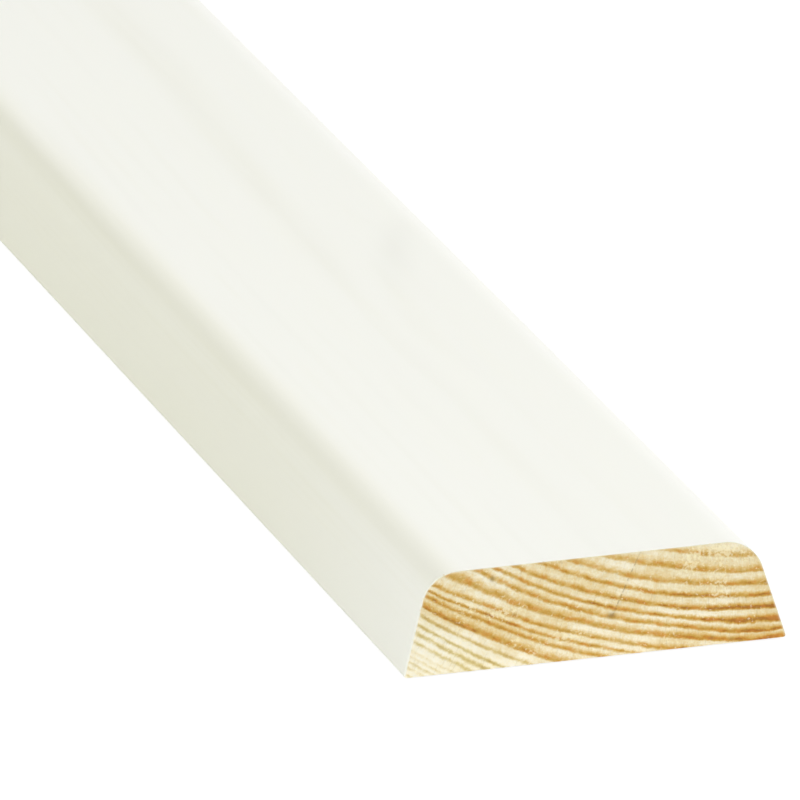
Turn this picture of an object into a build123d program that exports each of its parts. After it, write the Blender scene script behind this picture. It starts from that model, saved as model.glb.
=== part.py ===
"""A length of pine moulding: flat cover trim, run through a moulder from one board.

The back is flat and sits against the wall. Both long sides lean inwards towards the front,
and the two front edges are rounded. The whole strip is one piece of solid wood, cut square
at both ends.

Frame: the moulding lies on its back. X runs across its width, Y along its length and Z up
through its thickness. The origin is the centre of the back face.
"""

import os
from math import radians, tan

from build123d import *

# Driving dimensions, in millimetres and degrees.
LENGTH = 2400.0  # a length that such trim is sold in
WIDTH = 45.0  # overall, over the eased back edges
THICKNESS = 12.0  # from the back to the front face
SIDE_LEAN = 16.0  # angle of each long side from square
FRONT_EDGE_RADIUS = 4.5  # rounding between the front face and each side
BACK_EDGE_RADIUS = 0.3  # the sharp back edges are only just eased

MOULDING_FILE = os.path.join("parts", "moulding.step")


def half_width_at_sharp_corners():
    """Half the back's width before its edges are eased.

    Rounding a corner sharper than a right angle takes a little off the width, so the sharp
    corners stand that much further out.
    """
    back_corner = radians(90 - SIDE_LEAN)
    lost_to_rounding = BACK_EDGE_RADIUS * (1 / tan(back_corner / 2) - 1)
    return WIDTH / 2 + lost_to_rounding


def sharp_section():
    """The section before its edges are rounded: a trapezium with its long side on the back."""
    half_back = half_width_at_sharp_corners()
    half_front = half_back - THICKNESS * tan(radians(SIDE_LEAN))
    return Plane.XZ * Polygon(
        (-half_back, 0),
        (half_back, 0),
        (half_front, THICKNESS),
        (-half_front, THICKNESS),
        align=None,
    )


def moulding_section():
    """The finished section: both front edges well rounded, both back edges eased."""
    section = sharp_section()
    front_corners = section.vertices().sort_by(Axis.Z)[-2:]
    section = fillet(front_corners, FRONT_EDGE_RADIUS)
    back_corners = section.vertices().sort_by(Axis.Z)[:2]
    return fillet(back_corners, BACK_EDGE_RADIUS)


def moulding():
    """The section run along the whole length, half of it on each side of the origin."""
    return extrude(moulding_section(), amount=LENGTH / 2, both=True)


def main():
    os.makedirs("parts", exist_ok=True)
    strip = moulding()
    strip.label = "moulding"
    export_step(strip, MOULDING_FILE)
    size = strip.bounding_box().size
    print(f"moulding: {size.X:.2f} x {size.Y:.2f} x {size.Z:.2f} mm, {strip.volume:.0f} mm3")


if __name__ == "__main__":
    main()
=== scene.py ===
# %% [markdown]
# The object is one length of painted pine moulding: a cover strip that is flat on its back,
# with two leaning sides and two rounded front edges. A moulder ran it from one board. The mill
# sprayed its front and sides off-white, and a saw then cut both ends square and left them bare.
# The frame holds its real size and shape. This file gives it its finish. It notes the size
# first, so that nothing below can change it unseen.

import math

import bpy
import numpy as np
from mathutils import Matrix, Vector


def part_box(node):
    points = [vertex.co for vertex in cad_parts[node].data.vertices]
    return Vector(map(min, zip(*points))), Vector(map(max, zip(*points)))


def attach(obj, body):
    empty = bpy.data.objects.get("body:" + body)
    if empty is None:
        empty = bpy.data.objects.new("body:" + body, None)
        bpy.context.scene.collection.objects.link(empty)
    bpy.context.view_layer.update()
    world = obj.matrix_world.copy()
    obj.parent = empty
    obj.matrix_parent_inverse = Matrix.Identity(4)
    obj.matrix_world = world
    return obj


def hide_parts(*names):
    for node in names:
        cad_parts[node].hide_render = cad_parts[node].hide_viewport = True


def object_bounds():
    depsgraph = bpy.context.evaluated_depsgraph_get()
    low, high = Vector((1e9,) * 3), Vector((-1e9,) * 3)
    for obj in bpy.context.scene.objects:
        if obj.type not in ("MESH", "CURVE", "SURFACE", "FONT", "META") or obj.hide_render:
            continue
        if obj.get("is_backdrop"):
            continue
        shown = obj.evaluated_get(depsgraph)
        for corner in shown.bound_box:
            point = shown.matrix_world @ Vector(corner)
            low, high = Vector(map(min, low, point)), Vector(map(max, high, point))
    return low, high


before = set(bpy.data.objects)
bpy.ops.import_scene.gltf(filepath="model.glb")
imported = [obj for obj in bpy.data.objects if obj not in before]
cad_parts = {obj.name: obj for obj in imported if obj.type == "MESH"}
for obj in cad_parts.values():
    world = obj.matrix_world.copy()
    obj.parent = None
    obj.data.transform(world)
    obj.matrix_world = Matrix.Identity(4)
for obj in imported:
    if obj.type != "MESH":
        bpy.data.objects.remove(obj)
frame_box = [list(corner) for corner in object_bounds()]

MM = 0.001  # lengths below are in millimetres, and Blender's are in metres
lowest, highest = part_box("moulding")
WIDTH, LENGTH, THICKNESS = (highest - lowest) / MM
print(f"moulding: {WIDTH:.2f} mm wide, {LENGTH:.1f} mm long, {THICKNESS:.2f} mm thick")

# %% [markdown]
# The section is the shape of the moulder's cutters. Half of it is three stretches: a tiny arc
# where the back edge is eased, the straight leaning side, and a large arc at the front edge.
# A bevelled box would come close, but points worked out along the curve can be spaced evenly,
# and the sawn ends need them so for their fine relief.

# %% Work out the section's outline
SIDE_LEAN = math.radians(16)
FRONT_RADIUS = 4.5
BACK_RADIUS = 0.3
ARC_POINTS = 33
SIDE_POINTS = 73

back_corner = math.pi / 2 - SIDE_LEAN
sharp_half_width = WIDTH / 2 + BACK_RADIUS * (1 / math.tan(back_corner / 2) - 1)
back_centre = (WIDTH / 2 - BACK_RADIUS, BACK_RADIUS)
front_z = THICKNESS - FRONT_RADIUS
front_x = sharp_half_width - (FRONT_RADIUS + front_z * math.sin(SIDE_LEAN)) / math.cos(SIDE_LEAN)


def arc(centre, radius, start, end):
    """Points of an arc: centre + radius * (cos angle, sin angle), the angles evenly spaced."""
    angle = np.linspace(start, end, ARC_POINTS)
    return centre[0] + radius * np.cos(angle), centre[1] + radius * np.sin(angle)


def side_outline(count):
    """The right side from back to front, at even steps along two arcs and the line between."""
    back = arc(back_centre, BACK_RADIUS, -math.pi / 2, SIDE_LEAN)
    front = arc((front_x, front_z), FRONT_RADIUS, SIDE_LEAN, math.pi / 2)
    x = np.concatenate([back[0], front[0]])
    z = np.concatenate([back[1], front[1]])
    run = np.concatenate([[0], np.cumsum(np.hypot(np.diff(x), np.diff(z)))])
    steps = np.linspace(0, run[-1], count)
    return np.interp(steps, run, x), np.interp(steps, run, z)


side_x, side_z = side_outline(SIDE_POINTS)
print(f"one side: {len(side_x)} points, widest {2 * side_x.max():.2f} mm")

# %% [markdown]
# Wood is solid: the rings on the end, the lines along the back and the faint streaks under the
# paint are all cuts through the same growth rings. So the rings are one formula in x, y and z.
# They are circles about the pith, which lay above the front face, pressed a little out of
# round. Along the length the rings drift, and they swirl about one small knot.
# The formula uses only plus, times and power, so that it works on numpy's arrays for the
# relief, and on shader sockets for the colour, and the two always agree.

# %% Write the growth rings as one formula
PITH_X = 21.0
PITH_Z = 64.0
KNOT_X = 13.2  # where the knot's middle meets the front face
KNOT_Y = 148.0  # from the near end

# Each bulge: how far it pushes the rings out, the x where it sets in and how slowly, and the
# radius from the pith where it is strongest and how wide it is there.
BULGES = [
    (0.62, -4.0, -2.4, 64.9, 2.4),
    (1.30, -16.0, -1.6, 66.7, 2.3),
    (-0.30, -14.0, -1.5, 71.8, 1.3),
    (0.70, 14.5, 1.8, 62.6, 1.4),
    (0.42, 14.0, 1.6, 54.4, 1.9),
]
# Each drift along the length: how far the rings move, and where and over what length.
DRIFTS = [(-1.7, 760.0, 260.0), (1.1, 1330.0, 210.0), (-1.2, 1850.0, 240.0), (0.7, 2300.0, 150.0)]
# Each swirl: how far the rings move, its middle in x and y, and its reach in x and y.
SWIRLS = [(-0.75, 6.5, 107.0, 4.5, 21.0), (0.85, KNOT_X, KNOT_Y + 2.0, 4.5, 12.0)]
# Each slanted wave: how far the rings move, how fast it turns in x, y and z, and where it starts.
WAVES = [(0.05, 0.62, 0.021, 0.85, 0.0), (0.03, 1.45, 0.035, -1.1, 1.7)]
SPREAD = 1.5  # how far the rings move out past the knot
SPREAD_Y = 205.0  # where they do, and over what length
SPREAD_OVER = 30.0


def bell(distance, reach):
    """e to the power -(distance / reach) squared: 1 in the middle, nearly 0 at twice the reach."""
    share = distance * (1 / reach)
    return math.e ** (-(share * share))


def step_up(value, middle, softness):
    """1 / (1 + e to the power (middle - value) / softness): 0 below the middle, 1 above it."""
    return 1 / (1 + math.e ** ((middle - value) * (1 / softness)))


def sine(value):
    """The sine of an array or of a shader socket."""
    return np.sin(value) if isinstance(value, np.ndarray) else value.maths("SINE")


def ring_radius(x, y, z):
    """Distance from the pith less the bulges, plus the spread past the knot, the drifts along the
    length, the swirls about the knot and the small slanted waves.

    x, y and z are in millimetres, with y measured from the near end.
    """
    across = x - PITH_X
    down = PITH_Z - z
    radius = (across * across + down * down) ** 0.5
    rings = radius + SPREAD * step_up(y, SPREAD_Y, SPREAD_OVER)
    for push, start, softness, middle, width in BULGES:
        rings = rings - push * step_up(x, start, softness) * bell(radius - middle, width)
    for move, middle, reach in DRIFTS:
        rings = rings + move * bell(y - middle, reach)
    for move, middle_x, middle_y, reach_x, reach_y in SWIRLS:
        rings = rings + move * bell(x - middle_x, reach_x) * bell(y - middle_y, reach_y)
    for move, in_x, in_y, in_z, start in WAVES:
        rings = rings + move * sine(x * in_x + y * in_y + z * in_z + start)
    return rings


furthest = math.hypot(WIDTH / 2 + PITH_X, PITH_Z)
print(f"rings cross the section from {PITH_Z - THICKNESS:.0f} to {furthest:.0f} mm from the pith")

# %% [markdown]
# A year's ring starts pale and soft in spring and darkens to hard latewood by autumn, where it
# stops short. So each dark band fades in on the pith side and ends sharply on the bark side.
# Some years here are wide and soft, some are a thin dark line. A table of the years is the
# plainest way to keep that character, and every year becomes five stops of a curve.

# %% List the years and turn them into a curve
# Each year: the radius of its dark band, the band's width, and how dark it is.
YEARS = [
    (50.1, 0.6, 0.55),
    (51.7, 0.7, 0.50),
    (53.45, 0.80, 0.60),
    (55.38, 1.00, 0.66),
    (57.12, 0.86, 0.66),
    (58.60, 0.56, 0.82),
    (60.05, 0.62, 0.88),
    (61.22, 0.48, 0.92),
    (62.26, 0.60, 0.80),
    (63.52, 0.88, 0.82),
    (64.92, 0.60, 0.76),
    (66.00, 0.40, 0.86),
    (67.02, 0.66, 0.70),
    (68.68, 1.05, 0.90),
    (70.12, 0.50, 0.72),
    (71.42, 0.42, 0.76),
    (72.38, 0.46, 0.76),
    (73.24, 0.38, 0.60),
    (74.25, 0.30, 0.30),
    (74.88, 0.26, 0.34),
    (75.50, 0.26, 0.42),
    (76.10, 0.24, 0.36),
    (76.90, 0.28, 0.40),
    (77.80, 0.30, 0.44),
    (78.90, 0.34, 0.44),
]
# Each stop of a band: its place, in band widths from the band's radius, and its share of the dark.
BAND_STOPS = [(-0.95, 0.0), (-0.6, 0.26), (-0.05, 1.0), (0.17, 0.96)]
BARK_EDGE = 0.28  # how quickly every band then ends on its bark side, in millimetres


def year_stops(years):
    """Radii and darkness, five for each band: 0, a first tone, full, nearly full, and 0 again.

    A stop lies at the radius plus its place times the width, and the last a bark edge further out.
    """
    radius, width, dark = np.array(years).T
    places = [radius + place * width for place, part in BAND_STOPS]
    places.append(places[-1] + BARK_EDGE)
    levels = [dark * part for place, part in BAND_STOPS]
    levels.append(0 * dark)
    return np.stack(places, 1).ravel(), np.stack(levels, 1).ravel()


def latewood(rings):
    """How dark the ring is at each radius, from 0 for spring wood to 1: the curve, read off."""
    return np.interp(rings, *year_stops(YEARS))


print(f"{len(YEARS)} years, on average {np.diff([year[0] for year in YEARS]).mean():.2f} mm wide")

# %% [markdown]
# The strip is one closed skin. Each end is a grid of small cells, with rows from the back to
# the front and columns that fan out to the sides. The grid's own edge, carried along the
# length, makes the back, sides and front, so the skin has no seam. Stations along the length
# crowd towards the ends and pass the middle in long steps.

# %% Lay out the grid and carry its edge along the length
COLUMNS = 240
ROWS = len(side_x) - 1
STATIONS = 57
CROWDING = 2.4  # 1 would space them evenly, and this keeps the first step deeper than the relief

share = np.linspace(-1, 1, COLUMNS + 1)
cap_x = side_x[:, None] * share[None, :]
cap_z = np.repeat(side_z[:, None], COLUMNS + 1, axis=1)

spread = np.linspace(-1, 1, STATIONS)
station_y = np.sign(spread) * (1 - (1 - np.abs(spread)) ** CROWDING) * LENGTH / 2


def edge_loop(grid):
    """A grid's edge as one loop: along the back, up the right, along the front, down the left."""
    return np.concatenate([grid[0, :], grid[1:, -1], grid[-1, -2::-1], grid[-2:0:-1, 0]])


print(f"each end: {COLUMNS} by {ROWS} cells, {STATIONS} stations, first step "
      f"{station_y[1] - station_y[0]:.2f} mm")

# %% [markdown]
# A sawn end isn't flat. The blade leaves hard latewood standing and drags the soft wood back by
# a few hundredths of a millimetre, it tears out small tufts of fibre, and one fine check has
# opened along a ray as the board dried. The relief is a height over the grid, so it shows in
# the outline and in low light. It fades out at the painted rim, which keeps the real length.

# %% Work out the relief of the sawn ends
CHECK_TOP = (5.85, 12.0)  # x and z where the check meets the front face
CHECK_FOOT = (2.2, 4.7)  # and where it ends, in a dark spot
CHECK_DEPTH = 0.05
CHECK_WIDTH = 0.16
SOFT_DEPTH = 0.045  # how far spring wood lies behind the hardest latewood
TORN_DEPTH = 0.07  # how deep the fibre is torn out, where the ripples pass the torn level by 1
TORN_LEVEL = 1.3
TORN_SIZE = 0.55
SAW_DEPTH = 0.006
SAW_SIZE = 2.4
RIM = 0.35  # the relief fades out over this much of the section's edge
CHECK_RIM = 0.20  # and the check over this much
NEAR_SEED, FAR_SEED = 5, 11  # where the random ripples of each end start

check_slant = (CHECK_TOP[0] - CHECK_FOOT[0]) / (CHECK_TOP[1] - CHECK_FOOT[1])


def depth_under_coat(x, z):
    """How far a point of the section lies inside the painted outline.

    It is the least of the distances to the front and to the side, and near the front edge it is
    the arc's radius less the distance from the arc's centre.
    """
    from_side = (sharp_half_width - np.abs(x)) * math.cos(SIDE_LEAN) - z * math.sin(SIDE_LEAN)
    flat = np.minimum(THICKNESS - z, from_side)
    out = np.hypot(np.abs(x) - front_x, z - front_z)
    slant = np.arctan2(z - front_z, np.abs(x) - front_x)
    in_corner = (slant > SIDE_LEAN) & (slant < math.pi / 2)
    return np.maximum(np.where(in_corner, FRONT_RADIUS - out, flat), 0)


def ripples(x, z, size, seed, count=48):
    """A smooth random height: the sum of cosines in random headings, with waves about size long.

    The sum is divided by the root of half their count, so that it mostly stays between -2 and 2.
    """
    random = np.random.default_rng(seed)
    heading = random.uniform(0, math.pi, (count, 1, 1))
    wave = 2 * math.pi / (size * random.uniform(0.7, 1.5, (count, 1, 1)))
    phase = random.uniform(0, 2 * math.pi, (count, 1, 1))
    slanted = x[None] * np.cos(heading) + z[None] * np.sin(heading)
    return np.cos(wave * slanted + phase).sum(0) / math.sqrt(count / 2)


def sawn_relief(x, y, z, seed):
    """How far the sawn face lies back, in mm: spring wood plus torn tufts plus the saw's waves,
    the sum times the depth under the coat over the rim, up to 1.
    """
    soft = SOFT_DEPTH * (1 - latewood(ring_radius(x, y, z)))
    torn = TORN_DEPTH * np.clip(ripples(x, z, TORN_SIZE, seed) - TORN_LEVEL, 0, 1.2)
    sawn = SAW_DEPTH * np.maximum(1 + ripples(x + 4 * z, z * 0.15, SAW_SIZE, seed + 1), 0)
    return (soft + torn + sawn) * np.clip(depth_under_coat(x, z) / RIM, 0, 1)


off_check = cap_x - CHECK_FOOT[0] - check_slant * (cap_z - CHECK_FOOT[1])
check_groove = CHECK_DEPTH * bell(off_check, CHECK_WIDTH) * step_up(cap_z, CHECK_FOOT[1], 0.15)

near_relief = sawn_relief(cap_x, np.zeros_like(cap_x), cap_z, NEAR_SEED)
near_relief += check_groove * np.clip(depth_under_coat(cap_x, cap_z) / CHECK_RIM, 0, 1)
far_relief = sawn_relief(cap_x, np.full_like(cap_x, LENGTH), cap_z, FAR_SEED)
print(f"relief: up to {near_relief.max():.3f} mm at the near end, {far_relief.max():.3f} at the far")

# %% [markdown]
# The mesh is put together from whole arrays. Point numbers are kept in the same grids as the
# points, so every face is found by shifting a grid by one row or column, and no loop over
# points is needed. Each corner also gets a place on a flat layout, which gives the two sawn
# ends the largest share, because that is where the fine detail is.

# %% Build the mesh
SHARP_ANGLE = math.radians(50)  # a sharper fold than this is a cut edge

cap_count = cap_x.size
loop_count = len(edge_loop(cap_x))
middle_count = (STATIONS - 2) * loop_count
near_grid = np.arange(cap_count).reshape(cap_x.shape)
far_grid = near_grid + cap_count + middle_count
middle_rings = np.arange(middle_count).reshape(STATIONS - 2, loop_count) + cap_count
rings_along = np.vstack([edge_loop(near_grid)[None], middle_rings, edge_loop(far_grid)[None]])


def cap_points(y, relief):
    """One end's points: the grid at y, each pushed in by its relief."""
    inwards = -np.sign(y)
    return np.stack([cap_x, y + inwards * relief, cap_z], -1).reshape(-1, 3)


def middle_points():
    """The section's edge at every station but the two ends."""
    y = np.repeat(station_y[1:-1], loop_count)
    x = np.tile(edge_loop(cap_x), STATIONS - 2)
    z = np.tile(edge_loop(cap_z), STATIONS - 2)
    return np.stack([x, y, z], -1)


def grid_faces(grid):
    """Each cell's four corners, in turn: a grid shifted by a column, a row and both."""
    corners = [grid[:-1, :-1], grid[:-1, 1:], grid[1:, 1:], grid[1:, :-1]]
    return np.stack(corners, -1).reshape(-1, 4)


closed = np.hstack([rings_along, rings_along[:, :1]])
points = np.vstack([cap_points(station_y[0], near_relief), middle_points(),
                    cap_points(station_y[-1], far_relief)])
faces = np.vstack([grid_faces(near_grid), grid_faces(closed)[:, ::-1],
                   grid_faces(far_grid)[:, ::-1]])

mesh = bpy.data.meshes.new("moulding_dressed")
mesh.from_pydata((points * MM).tolist(), [], faces.tolist())
mesh.polygons.foreach_set("use_smooth", np.ones(len(faces), bool))
mesh.set_sharp_from_angle(angle=SHARP_ANGLE)
print(f"mesh: {len(points)} points, {2 * len(faces)} triangles, valid: {not mesh.validate()}")

# %% [markdown]
# Two things follow the surface and not the solid wood. One is the coat: paint lies where a
# point is on the sprayed outline, and its edge shows as a thin line on the sawn ends and the
# back. So every point stores how deep under that outline it lies. The other is the flat layout.

# %% Store the depth under the coat and the flat layout
depth = depth_under_coat(points[:, 0], points[:, 2])
mesh.attributes.new("under_coat", "FLOAT", "POINT").data.foreach_set("value", depth)

END_SHARE = 0.265  # of the layout's height, for each sawn end
GAP = 0.006


def cap_layout(bottom):
    """Corner places of one end: x across the layout and z up, in a band that starts at bottom."""
    u = GAP + (cap_x / WIDTH + 0.5) * (1 - 2 * GAP)
    v = bottom + GAP + cap_z / THICKNESS * (END_SHARE - 2 * GAP)
    return np.stack([u, v], -1)


def strip_layout(bottom):
    """Corner places of the long faces: length across, and distance round the section up."""
    x = np.append(edge_loop(cap_x), cap_x[0, 0])
    z = np.append(edge_loop(cap_z), cap_z[0, 0])
    run = np.concatenate([[0], np.cumsum(np.hypot(np.diff(x), np.diff(z)))])
    v = bottom + GAP + run / run[-1] * (1 - bottom - 2 * GAP)
    u = GAP + (station_y / LENGTH + 0.5) * (1 - 2 * GAP)
    return np.stack(np.meshgrid(u, v, indexing="ij"), -1)


def layout_corners(places):
    """The places of each cell's four corners, in the same turn as the faces."""
    corners = [places[:-1, :-1], places[:-1, 1:], places[1:, 1:], places[1:, :-1]]
    return np.stack(corners, -2).reshape(-1, 4, 2)


corner_places = np.vstack([
    layout_corners(cap_layout(0)),
    layout_corners(strip_layout(2 * END_SHARE))[:, ::-1],
    layout_corners(cap_layout(END_SHARE))[:, ::-1],
])
mesh.uv_layers.new(name="OFBake").data.foreach_set("uv", corner_places.ravel())
print(f"layout: the ends take {2 * END_SHARE:.0%} of its height")

moulding = bpy.data.objects.new("moulding_dressed", mesh)
bpy.context.scene.collection.objects.link(moulding)
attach(moulding, "root")
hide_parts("moulding")

# %% [markdown]
# Shader nodes are wired by hand in Blender, or in code a node at a time. Written as sums they
# are easier to read, so a small class wraps a socket: a plus or times sign between two wires
# adds the Math node for it. Every other node comes from one method, add.

# %% Make shader sums read as Python
class Wire:
    """The output of a shader node. A sum or product of wires adds a Math node to their tree."""

    def __init__(self, tree, socket=None):
        self.tree = tree
        self.socket = socket

    def add(self, kind, settings=None, sockets=None, out=0):
        """A node of this kind. Its settings come first, then the values or wires of its sockets."""
        made = self.tree.nodes.new(kind)
        for name, value in (settings or {}).items():
            if name == "stops":
                set_stops(made.color_ramp, value)
            else:
                setattr(made, name, value)
        for name, value in (sockets or {}).items():
            if isinstance(value, Wire):
                self.tree.links.new(value.socket, made.inputs[name])
            else:
                made.inputs[name].default_value = value
        return Wire(self.tree, made.outputs[out] if made.outputs else None)

    def maths(self, operation, *values):
        """A Math node on this wire and the other values."""
        return self.add("ShaderNodeMath", {"operation": operation}, dict(enumerate((self, *values))))

    def __add__(self, other):
        return self.maths("ADD", other)

    def __sub__(self, other):
        return self.maths("SUBTRACT", other)

    def __rsub__(self, other):
        return (-self) + other

    def __mul__(self, other):
        return self.maths("MULTIPLY", other)

    def __rtruediv__(self, other):
        return self.add("ShaderNodeMath", {"operation": "DIVIDE"}, {0: other, 1: self})

    def __pow__(self, other):
        return self.maths("POWER", other)

    def __rpow__(self, other):
        return self.add("ShaderNodeMath", {"operation": "POWER"}, {0: other, 1: self})

    def __neg__(self):
        return self * -1.0

    __radd__ = __add__
    __rmul__ = __mul__

    def other_output(self, name):
        """Another output of the same node."""
        return Wire(self.tree, self.socket.node.outputs[name])

    def limited(self):
        """The value held between 0 and 1."""
        return self.add("ShaderNodeClamp", {}, {"Value": self})


def set_stops(ramp, stops):
    """Gives a ramp its stops, each a place from 0 to 1 and a colour."""
    while len(ramp.elements) < len(stops):
        ramp.elements.new(1.0)
    for element, (place, colour) in zip(ramp.elements, stops):
        element.position = place
        element.color = colour


def tint(red, green, blue):
    """A colour from its 0 to 255 screen values, as the linear numbers that Blender mixes."""
    share = np.array([red, green, blue]) / 255
    linear = np.where(share <= 0.04045, share / 12.92, ((share + 0.055) / 1.055) ** 2.4)
    return (*linear.tolist(), 1.0)


def mixed(mask, first, second):
    """The first colour where the mask is 0, and the second where it is 1.

    Most sockets of a Mix node share their names, so the two colours go in by number, 6 and 7.
    """
    sockets = {0: mask, 6: first, 7: second}
    return mask.add("ShaderNodeMix", {"data_type": "RGBA"}, sockets, out=2)


def shaded(colour, amount):
    """A colour times a plain number, through Vector Math, so that it keeps its hue."""
    factors = amount.add("ShaderNodeCombineXYZ", {}, {0: amount, 1: amount, 2: amount})
    return colour.add("ShaderNodeVectorMath", {"operation": "MULTIPLY"}, {0: colour, 1: factors})


def grain_noise(across, along, through, detail=2.0, roughness=0.5):
    """Noise on three wires, each already times how often the pattern turns in a millimetre."""
    place = across.add("ShaderNodeCombineXYZ", {}, {0: across, 1: along, 2: through})
    sockets = {"Vector": place, "Scale": 1.0, "Detail": detail, "Roughness": roughness}
    return across.add("ShaderNodeTexNoise", {}, sockets)


def swing(noise, amount):
    """The noise less its middle, a half, times the amount: it swings about 0 by half of that."""
    return (noise - 0.5) * amount


material = bpy.data.materials.new("painted_pine")
material.use_nodes = True
material.node_tree.nodes.clear()
sheet = Wire(material.node_tree)
print("a wire adds its own Math nodes")

# %% [markdown]
# Every pattern starts from Object coordinates, which stay with the wood wherever the strip
# lies. They are turned to millimetres, with y from the near end. The ring formula then gives
# each point its radius, and the years' curve gives how dark it is. A ramp holds at most 32
# stops and reads in 256 steps, so the years are shared out over a few ramps and added up.

# %% Read the place and its year
MEAN_RADIUS = 62.0  # of the rings that cross the section
END_DEPTH = 0.3  # how far in along the strip the sawn ends count as ends
YEARS_PER_RAMP = 5
FRAY = 0.34  # how unevenly the rows of fibres end along a ring, in millimetres

place = sheet.add("ShaderNodeTexCoord", out="Object")
split = sheet.add("ShaderNodeSeparateXYZ", {}, {0: place})
x = split * (1 / MM)
y = split.other_output("Y") * (1 / MM) + LENGTH / 2
z = split.other_output("Z") * (1 / MM)
rings = ring_radius(x, y, z)
arc_place = (x - PITH_X) * (1 / (PITH_Z - z)) * MEAN_RADIUS  # across the rays
from_end = LENGTH / 2 - (y - LENGTH / 2).maths("ABSOLUTE")
on_long_faces = step_up(from_end, END_DEPTH, END_DEPTH / 10)

fray = grain_noise(arc_place * 1.7, rings, y * 0.05, detail=2.0)
frayed = rings + swing(fray, FRAY)


def year_ramp(years):
    """The curve of a few years as one ramp over their own span, black outside it."""
    radius, dark = year_stops(years)
    span = radius[-1] - radius[0]
    stops = [((r - radius[0]) / span, (d, d, d, 1.0)) for r, d in zip(radius, dark)]
    along = (frayed - float(radius[0])) * float(1 / span)
    return sheet.add("ShaderNodeValToRGB", {"stops": stops}, {0: along})


groups = [YEARS[i:i + YEARS_PER_RAMP] for i in range(0, len(YEARS), YEARS_PER_RAMP)]
late = 0.0
for group in groups:
    late = year_ramp(group) + late
print(f"{len(groups)} ramps carry {len(YEARS)} years")

# %% [markdown]
# Bare pine is never one tone. The latewood comes in brown and orange patches along each ring,
# the young wood by the bark is nearly white with olive lines, rays run outwards as the finest
# flecks, and the saw leaves tufts that catch the light. Each is a noise stretched the way the
# wood is built: short across the grain and long along it.

# %% Colour the bare pine
SPRING_TONE = 0.11  # how dark the wood between two bands is
SAP_RADIUS = 69.7  # the nearly white young wood lies beyond it
# Each broad tone: its middle in x and z, its reach in x and z, and how much darker the wood is.
BROAD_TONES = [
    (10.5, 9.8, 3.8, 2.2, 0.12),
    (-3.5, 10.0, 3.6, 2.2, 0.12),
    (-10.5, 10.0, 3.0, 2.0, -0.13),
    (-6.5, 6.0, 6.0, 1.9, 0.085),
    (-17.5, 6.0, 2.8, 2.0, 0.07),
    (-10.5, 2.2, 3.2, 1.8, 0.04),
    (3.5, 2.0, 3.6, 1.8, -0.09),
    (17.0, 2.2, 2.6, 1.6, -0.03),
]

patch = grain_noise(arc_place * 0.5, rings * 1.1, y * 0.02, detail=3.0, roughness=0.6)
warmth = grain_noise(arc_place * 0.7, rings * 1.3 + 40.0, y * 0.02, detail=1.0)
fibre = grain_noise(arc_place * 7.5, rings * 1.5, y * 0.09, detail=3.0, roughness=0.6)
mottle = grain_noise(x * 1.1, y * 0.1, z * 1.5, detail=3.0, roughness=0.6)
zone = grain_noise(x * 0.17, y * 0.01, z * 0.4, detail=0.0)
grit = grain_noise(x * 4.2, y * 0.25, z * 4.2, detail=2.0)
hair_noise = grain_noise(arc_place * 3.4, rings * 0.55, y * 0.05, detail=0.0)

# Some years are darkest on the right, some have faded at the front, and where the bands crowd
# on the left, and by the right side, the wood between them is darker too.
dark_years = step_up(x, 10.0, 2.2) * bell(rings - 60.6, 3.4)
faded = bell(x + 5.0, 5.0) * bell(z - 10.0, 2.4)
strength = 0.08 + patch * 1.5 + 0.40 * dark_years - 0.2 * faded
crowded = 0.18 * bell(rings - 67.2, 1.6) * step_up(x, -9.0, -3.0) + 0.08 * step_up(x, 17.0, 1.2)

uneven = swing(fibre, 0.22) + swing(mottle, 0.55) + swing(zone, 0.40) + swing(grit, 0.32)
for middle_x, middle_z, reach_x, reach_z, darker in BROAD_TONES:
    uneven = uneven + bell(x - middle_x, reach_x) * bell(z - middle_z, reach_z) * darker
darkness = (late * strength + crowded + uneven + SPRING_TONE * (1 - late)).limited()

heart_stops = [
    (0.00, tint(252, 244, 224)),
    (0.16, tint(240, 225, 188)),
    (0.40, tint(226, 197, 135)),
    (0.64, tint(211, 168, 82)),
    (0.84, tint(197, 144, 45)),
    (1.00, tint(168, 106, 18)),
]
sap_stops = [
    (0.00, tint(254, 250, 238)),
    (0.25, tint(247, 238, 212)),
    (0.55, tint(222, 205, 148)),
    (1.00, tint(190, 160, 92)),
]
heart = sheet.add("ShaderNodeValToRGB", {"stops": heart_stops}, {0: darkness})
sap = sheet.add("ShaderNodeValToRGB", {"stops": sap_stops}, {0: darkness})
by_bark = step_up(rings, SAP_RADIUS, 0.35)
wood = mixed(by_bark, heart, sap)

in_band = step_up(late * strength, 0.42, 0.07) * (1 - by_bark)
wood = mixed(in_band * step_up(warmth, 0.56, 0.03) * 0.5, wood, tint(211, 142, 62))
wood = mixed(in_band * step_up(warmth, 0.44, -0.03) * 0.35, wood, tint(190, 154, 72))
hair = step_up(hair_noise, 0.71, 0.015) * (1 - late)
wood = mixed(hair.limited() * 0.12, wood, tint(182, 160, 122))
wood = shaded(wood, 0.93 + grit * 0.12)
print("bare pine: rings, warm and olive patches, rays and hairlines")

# %% [markdown]
# The saw tears up tufts of fibre, which stand pale against the wood. Both ends have a few
# scattered ones. They are thick where the blade left the cut, at the near end's upper right
# corner and along two or three bands that it crossed there. The planed back has none.

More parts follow.
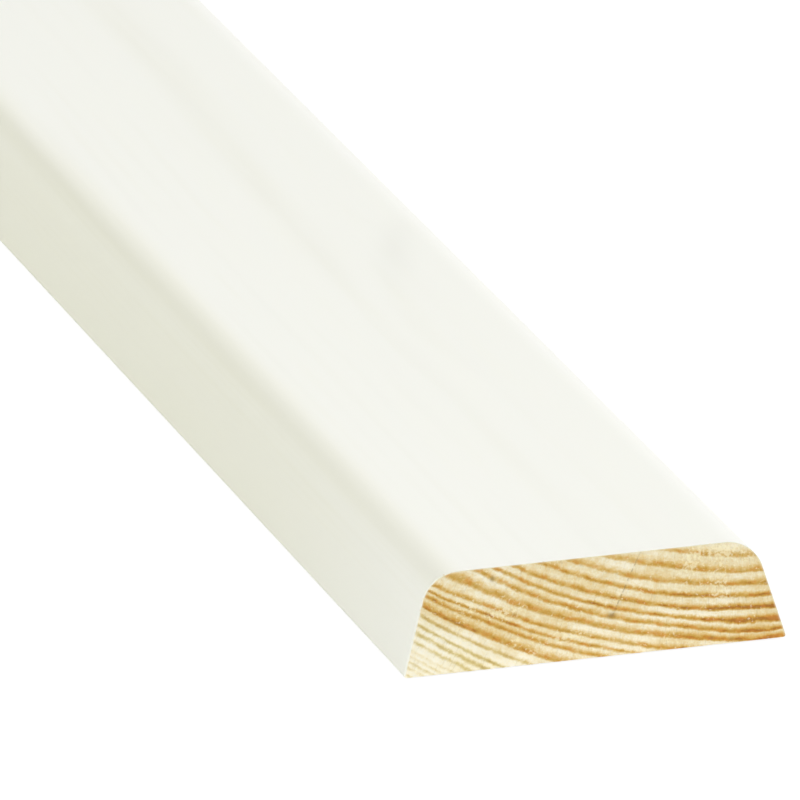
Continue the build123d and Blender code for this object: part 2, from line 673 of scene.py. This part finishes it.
# %% Add the torn tufts
# Each cluster on the near end: its middle in x and z, and its reach in x and z.
TUFT_CLUSTERS = [
    (15.8, 11.4, 3.8, 0.9),
    (15.0, 7.0, 1.2, 3.6),
    (11.6, 9.7, 1.1, 1.6),
    (-11.0, 6.3, 2.2, 0.7),
    (-13.8, 7.6, 0.9, 0.7),
    (-3.2, 2.8, 2.8, 0.6),
    (-9.3, 3.0, 0.6, 0.7),
]
NEAR_END_REACH = 7.0  # how far in from the near end its own marks fade out
TUFT_LEVEL = 0.69  # lower would mean more tufts

near_end_only = bell(y, NEAR_END_REACH)
clusters = 0.0
for middle_x, middle_z, reach_x, reach_z in TUFT_CLUSTERS:
    clusters = bell(x - middle_x, reach_x) * bell(z - middle_z, reach_z) + clusters

tuft_noise = grain_noise(x * 2.4, y * 0.3, z * 2.8, detail=2.0)
tuft_zone = grain_noise(x * 0.35, y * 0.02, z * 0.35, detail=0.0)
crowding = swing(tuft_zone, 0.3) + clusters * near_end_only * 0.20 - on_long_faces * 0.25
tuft = step_up(tuft_noise + crowding, TUFT_LEVEL, 0.03).limited()
wood = mixed(tuft * 0.60, wood, tint(253, 243, 208))
print(f"tufts: {len(TUFT_CLUSTERS)} clusters on the near end, and scattered ones")

# %% [markdown]
# A few marks have their own places: the drying check with the dark spot at its foot, a few
# smaller spots, and the knot. A knot is a branch, so it runs out from the pith, and its place
# on the back is found along that same ray.

# %% Add the check, the spots and the knot
# Each spot: its x and z, its reach in x and z, and how dark it is.
SPOTS = [
    (2.1, 4.75, 0.5, 0.32, 0.8),
    (-11.7, 10.6, 0.28, 0.34, 0.7),
    (-9.3, 6.1, 0.3, 0.2, 0.4),
    (13.8, 0.85, 0.26, 0.2, 0.45),
    (16.1, 0.45, 0.4, 0.18, 0.4),
]
KNOT_ACROSS = 2.3  # the reach of the knot across the rays and along the strip
KNOT_ALONG = 4.2

off_line = x - CHECK_FOOT[0] - check_slant * (z - CHECK_FOOT[1])
dashes = step_up(grain_noise(x * 1.9, y * 0.1, z * 1.9, detail=2.0), 0.48, 0.025)
check = bell(off_line, 0.10) * step_up(z, CHECK_FOOT[1], 0.1) * dashes * near_end_only
# The check's dark line is partly painted shade inside the crack and partly the wood's own grey-brown
# there.
wood = mixed((check * 0.55).limited(), wood, tint(158, 128, 86))
for spot_x, spot_z, reach_x, reach_z, dark in SPOTS:
    spot = bell(x - spot_x, reach_x) * bell(z - spot_z, reach_z) * near_end_only
    wood = mixed((spot * dark).limited(), wood, tint(140, 112, 58))

knot_slant = (KNOT_X - PITH_X) / (PITH_Z - THICKNESS)
off_knot = x - PITH_X - knot_slant * (PITH_Z - z)
knot = bell(off_knot, KNOT_ACROSS) * bell(y - KNOT_Y, KNOT_ALONG)
knot_core = step_up(knot, 0.45, 0.05)
knot_rim = bell(knot - 0.42, 0.13)
knot_years = sine(knot * 24.0 + patch * 7.0) * 0.5 + 0.5
knot_wood = mixed(knot_years * (0.1 + fibre * 0.8), tint(196, 128, 50), tint(158, 92, 24))
wood = mixed((knot_core * 0.85).limited(), wood, knot_wood)
wood = mixed((knot_rim * 0.70).limited(), wood, tint(112, 62, 12))
print(f"the knot runs from x = {KNOT_X} on the front to {PITH_X + knot_slant * PITH_Z:.1f} on the back")

# %% [markdown]
# The coat is thin primer. It hides the wood's colour, yet the hard latewood stands up a
# little under it and the resin yellows it, so the broad rings show as long faint streaks, and
# the knot as a cloud. They come and go with the thickness of the spray. The streaks use the
# same rings, so they meet the bands on the sawn end. Along the two front roundings a band of
# painted shade makes the coat a touch darker and yellower than the faces beside them.

# %% Colour the coat
# Each band of painted shade: -1 for the left rounding or 1 for the right, the degrees it faces off
# straight up, how much painted shade it adds.
PAINTED_SHADE_EDGES = [(-1, 22, 0.40), (1, 42, 0.24)]
SHADE_REACH = 0.6  # how far the painted shade spreads from its line
BROAD_YEAR = 55.35  # the radii of the two bands that show most, the second before the knot only
TAIL_YEAR = 53.45

spray = grain_noise(x * 0.30, y * 0.016, z * 0.30, detail=2.0)
fine_fibre = grain_noise(x * 5.5, y * 0.05, z * 5.5, detail=2.0)
cloud = grain_noise(x * 0.4, y * 0.03, z * 0.4, detail=2.0)

past_knot = step_up(y, 132.0, 5.0) * (1 - step_up(y, 700.0, 90.0))
fading = 0.40 - 0.18 * bell(y - 158.0, 16.0)
broad = bell(rings - BROAD_YEAR, 0.80) * (0.14 + fading * past_knot)
tail = bell(rings - TAIL_YEAR, 0.60) * bell(y - 112.0, 22.0) * 0.26
slanted = off_knot - 0.25 * (y - KNOT_Y)
knot_cloud = bell(slanted, KNOT_ACROSS) * bell(y - KNOT_Y + 4.0, 15.0)
knot_cloud = knot_cloud * step_up(y, KNOT_Y + 9.0, -2.0)
show = (late * step_up(spray, 0.50, 0.05) * 0.26 + (broad + tail) * (0.4 + spray * 1.2)).limited()
bright = 1.004 - 0.036 * show - 0.037 * knot_cloud + swing(fine_fibre, 0.010) + swing(cloud, 0.024)
clean_white = tint(250, 250, 243)
streak_and_shade_white = tint(244, 243, 228)
yellowing_and_painted_shade = show * 0.45 + swing(cloud, 0.3)
# Painted shade: a darker, yellower band of coat along each front rounding.
for side, facing, shade_amount in PAINTED_SHADE_EDGES:
    up_edge = (z - front_z) * math.cos(math.radians(facing))
    out_edge = (x * side - front_x) * math.sin(math.radians(facing))
    yellowing_and_painted_shade = yellowing_and_painted_shade + bell(out_edge + up_edge - FRONT_RADIUS, SHADE_REACH) * shade_amount
paint = shaded(mixed(yellowing_and_painted_shade.limited(), clean_white, streak_and_shade_white), bright)
print("coat: streaks where the broad years run under it")

# %% [markdown]
# The coat and the bare wood are one surface, so one mask says where the paint lies: at full
# strength on the sprayed outline, a film's width in from it on the sawn ends, where the cut
# shows the film on edge, and a ragged millimetre round onto the back, where the spray drifted.
# The film is thickest where it ran down the left side, and its colour is made a little darker
# where it lies off the sprayed faces, on the cut ends and the back. The saw also chipped it here
# and there, and the primer pales the first fifth of a millimetre of wood under it.

# %% Mask the coat
FILM = 0.05  # how thick the coat is where the saw cut it
RUN = 0.11  # how much thicker it is on the left side
DRIFT = 1.1  # how far the spray wandered onto the back
PALE_RIM = 0.22  # how far the primer soaked into the wood
CHIP_DEPTH = 0.12  # how far in along the strip the saw chipped the coat

under_coat = sheet.add("ShaderNodeAttribute", {"attribute_name": "under_coat"}, out="Fac")
ragged = grain_noise(x * 1.6, y * 0.12, z * 1.6, detail=3.0)
chip_noise = grain_noise(x * 2.6, y * 1.5, z * 2.6, detail=1.0)
film = (FILM + RUN * step_up(x, -16.0, -1.2)) * (0.5 + ragged)
reach = film + on_long_faces * ragged * DRIFT
chipped = step_up(chip_noise, 0.66, 0.02) * bell(from_end, CHIP_DEPTH)
coat = (step_up(reach - under_coat, 0.0, 0.008) * (1 - chipped)).limited()
# The coat's colour is made 5 per cent darker where it lies off the sprayed faces.
paint = shaded(paint, 1.0 - 0.05 * step_up(under_coat, 0.03, 0.01))
soaked = step_up(under_coat - film, PALE_RIM * 0.5, -0.04) * (1 - on_long_faces)
wood = mixed(soaked * 0.4, wood, tint(246, 238, 214))
print(f"coat: {FILM} mm thick on the cut edge, up to {DRIFT} mm round onto the back")

# %% [markdown]
# Roughness and relief finish it. Primer is nearly matt and bare wood is dull. The heights
# below are real ones, in millimetres, and the Bump node takes them as such: fibres that stand
# up on the sawn ends, the moulder's knife marks a millimetre and a half apart, and latewood
# that swells a few thousandths under the paint.

# %% Put the surface together
KNIFE_MARK = 1.6  # the step between two cuts of the moulder's knives

knife_marks = sine(y * (2 * math.pi / KNIFE_MARK))
wood_height = fibre * 0.016 + late * 0.012 + grit * 0.010 + knife_marks * 0.0012 * on_long_faces
wood_height = wood_height + tuft * 0.015 - hair * 0.02 - check * 0.04
paint_height = show * 0.006 + fine_fibre * 0.004 + cloud * 0.006 + knife_marks * 0.0006
height = wood_height * (1 - coat) + paint_height * coat
bump = sheet.add("ShaderNodeBump", {}, {"Strength": 1.0, "Distance": MM, "Height": height})

dull = 0.70 + fibre * 0.12 - late * 0.08
primer_dull = 0.54 + cloud * 0.10 - show * 0.04
surface = sheet.add("ShaderNodeBsdfPrincipled", {}, {
    "Base Color": mixed(coat, wood, paint),
    "Roughness": dull * (1 - coat) + primer_dull * coat,
    "Normal": bump,
})
sheet.add("ShaderNodeOutputMaterial", {}, {"Surface": surface})
moulding.data.materials.append(material)
print(f"painted_pine: {len(material.node_tree.nodes)} nodes")

# %% [markdown]
# The photograph is taken from close to the near end with a very long lens, from a little above
# and to the left, and tilted slightly. The numbers below come from matching the corners and
# edges of the near end. The camera is then placed so that the middle of the back edge
# falls on its own pixel.

# %% Place the camera
FRAME_PIXELS = 800
SENSOR = 36.0
LENS = 995.0
TURN = math.radians(13.08)  # to the right of straight along the strip
DIP = math.radians(15.2)
ROLL = math.radians(2.58)
DISTANCE = 2526.0  # along the line of sight, to the near end
BACK_EDGE_PIXEL = (595.4, 657.54)  # where the middle of the near back edge falls

flat_right = np.array([math.cos(TURN), -math.sin(TURN), 0])
sight = np.array([math.sin(TURN) * math.cos(DIP), math.cos(TURN) * math.cos(DIP), -math.sin(DIP)])
flat_up = np.cross(flat_right, sight)
camera_right = math.cos(ROLL) * flat_right - math.sin(ROLL) * flat_up
camera_up = math.sin(ROLL) * flat_right + math.cos(ROLL) * flat_up

pixel = SENSOR / FRAME_PIXELS / LENS * DISTANCE
to_right = (BACK_EDGE_PIXEL[0] - FRAME_PIXELS / 2) * pixel
to_top = (FRAME_PIXELS / 2 - BACK_EDGE_PIXEL[1]) * pixel
near_edge = np.array([0, -LENGTH / 2, 0])
standpoint = near_edge - to_right * camera_right - to_top * camera_up - DISTANCE * sight

camera = bpy.data.objects.new("camera", bpy.data.cameras.new("camera"))
camera.data.lens = LENS
camera.data.sensor_width = SENSOR
axes = np.stack([camera_right, camera_up, -sight, standpoint * MM], 1)
camera.matrix_world = Matrix([*axes.tolist(), [0, 0, 0, 1]])
bpy.context.scene.collection.objects.link(camera)
bpy.context.scene.camera = camera
print(f"camera: {DISTANCE / 1000:.2f} m from the near end, {pixel:.3f} mm to a pixel there")

# %% [markdown]
# A pale object needs soft light, because hard light would clip the paint, yet light from
# everywhere would make every face alike. So the sky gives a third of it, a cool key comes from
# low on the right, and a broad warm fill from high on the left. The right rounding then is the
# brightest and the left side the darkest, with the front face between them. Both are suns, so
# that they light the whole length alike. Two cards stand by the near end only: one before the
# sawn face, and a small bluish one by the left side. Together they light a level surface at
# about the value it is painted in.

# %% Light it softly
SKY = 0.315
WHITE = (1.0, 1.0, 1.0, 1.0)
# Each sun: the direction it comes from, its strength, how wide it looks in degrees, its colour.
SUNS = {
    "cool_key": ((0.810, -0.31, 0.497), 1.56, 14, (0.99, 1.0, 1.14)),
    "warm_fill": ((-0.510, -0.33, 0.795), 1.29, 40, (1.0, 1.0, 0.87)),
}

for name, (source, strength_here, width_seen, colour) in SUNS.items():
    sun = bpy.data.objects.new(name, bpy.data.lights.new(name, "SUN"))
    sun.data.energy = strength_here
    sun.data.angle = math.radians(width_seen)
    sun.data.color = colour
    sun.rotation_euler = Vector(source).to_track_quat("Z", "Y").to_euler()
    bpy.context.scene.collection.objects.link(sun)

# Each card: its place in metres from the middle of the near end, its size, its watts, its colour.
CARDS = {
    "front_card": ((0.12, -0.30, 0.47), 0.30, 0.27, (1.0, 1.0, 1.0)),
    "side_card": ((-0.085, 0.0, 0.015), 0.03, 0.0023, (0.95, 1.0, 1.8)),
}

for name, (offset, size, watts, colour) in CARDS.items():
    card = bpy.data.objects.new(name, bpy.data.lights.new(name, "AREA"))
    card.data.size = size
    card.data.energy = watts
    card.data.color = colour
    card.visible_camera = False
    card.location = Vector((0, -LENGTH / 2 * MM, 0)) + Vector(offset)
    card.rotation_euler = Vector(offset).to_track_quat("Z", "Y").to_euler()
    bpy.context.scene.collection.objects.link(card)


def seen_directly(tree_wire):
    """1 for rays from the camera, off a gloss or through glass, and 0 for light that spreads."""
    paths = tree_wire.add("ShaderNodeLightPath")
    total = paths
    for name in ("Is Glossy Ray", "Is Transmission Ray"):
        total = total + paths.other_output(name)
    return total.limited()


world = bpy.data.worlds.new("studio")
world.use_nodes = True
world.node_tree.nodes.clear()
air = Wire(world.node_tree)
sky = air.add("ShaderNodeBackground", {}, {"Color": WHITE, "Strength": SKY})
white = air.add("ShaderNodeBackground", {}, {"Color": WHITE, "Strength": 1.0})
choice = air.add("ShaderNodeMixShader", {}, {0: seen_directly(air), 1: sky, 2: white})
air.add("ShaderNodeOutputWorld", {}, {"Surface": choice})
bpy.context.scene.world = world
print(f"light: sky {SKY}, {len(SUNS)} suns and {len(CARDS)} cards")

# %% [markdown]
# The strip lies on a white sweep. To the camera the floor is part paper and part glow, so that
# it reads as white and still keeps the strip's soft shadow. To the light it is plain warm-white
# paper, which throws light back onto the leaning sides.

# %% Lay the floor
FLOOR_HALF = 9.0  # metres
FLOOR_GAP = 0.0002  # just under the back face, so that the two never share a plane
PAPER_SEEN = (0.20, 0.20, 0.20, 1.0)  # the part of the white that takes the shadow
GLOW_SEEN = 0.875  # and the part that glows
PAPER_LIT = (0.93, 0.93, 0.81, 1.0)  # the paper that light meets

floor_mesh = bpy.data.meshes.new("floor")
corners = np.array([(-1, -1, 0), (1, -1, 0), (1, 1, 0), (-1, 1, 0)]) * FLOOR_HALF
corners[:, 2] = -FLOOR_GAP
floor_mesh.from_pydata(corners.tolist(), [], [(0, 1, 2, 3)])
floor = bpy.data.objects.new("floor", floor_mesh)
bpy.context.scene.collection.objects.link(floor)
floor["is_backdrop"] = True

paper = bpy.data.materials.new("white_paper")
paper.use_nodes = True
paper.node_tree.nodes.clear()
page = Wire(paper.node_tree)
lit = page.add("ShaderNodeBsdfDiffuse", {}, {"Color": PAPER_SEEN})
glow = page.add("ShaderNodeEmission", {}, {"Color": WHITE, "Strength": GLOW_SEEN})
shown = page.add("ShaderNodeAddShader", {}, {0: lit, 1: glow})
bounce = page.add("ShaderNodeBsdfDiffuse", {}, {"Color": PAPER_LIT})
mix_floor = page.add("ShaderNodeMixShader", {}, {0: seen_directly(page), 1: bounce, 2: shown})
page.add("ShaderNodeOutputMaterial", {}, {"Surface": mix_floor})
floor.data.materials.append(paper)
print(f"floor: {2 * FLOOR_HALF:.0f} m across")

# %% [markdown]
# The last step shows colours as they are, with no film curve, and writes down the size of the
# finished object beside the frame's, so that the two can be compared after every render.

# %% Compare the sizes and finish
bpy.context.scene.view_settings.view_transform = "Standard"

finished_box = [list(corner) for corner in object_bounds()]
difference = np.abs(np.array(finished_box) - np.array(frame_box)).max() / MM
print(f"size: the finished strip differs from the frame by {difference:.3f} mm at most")
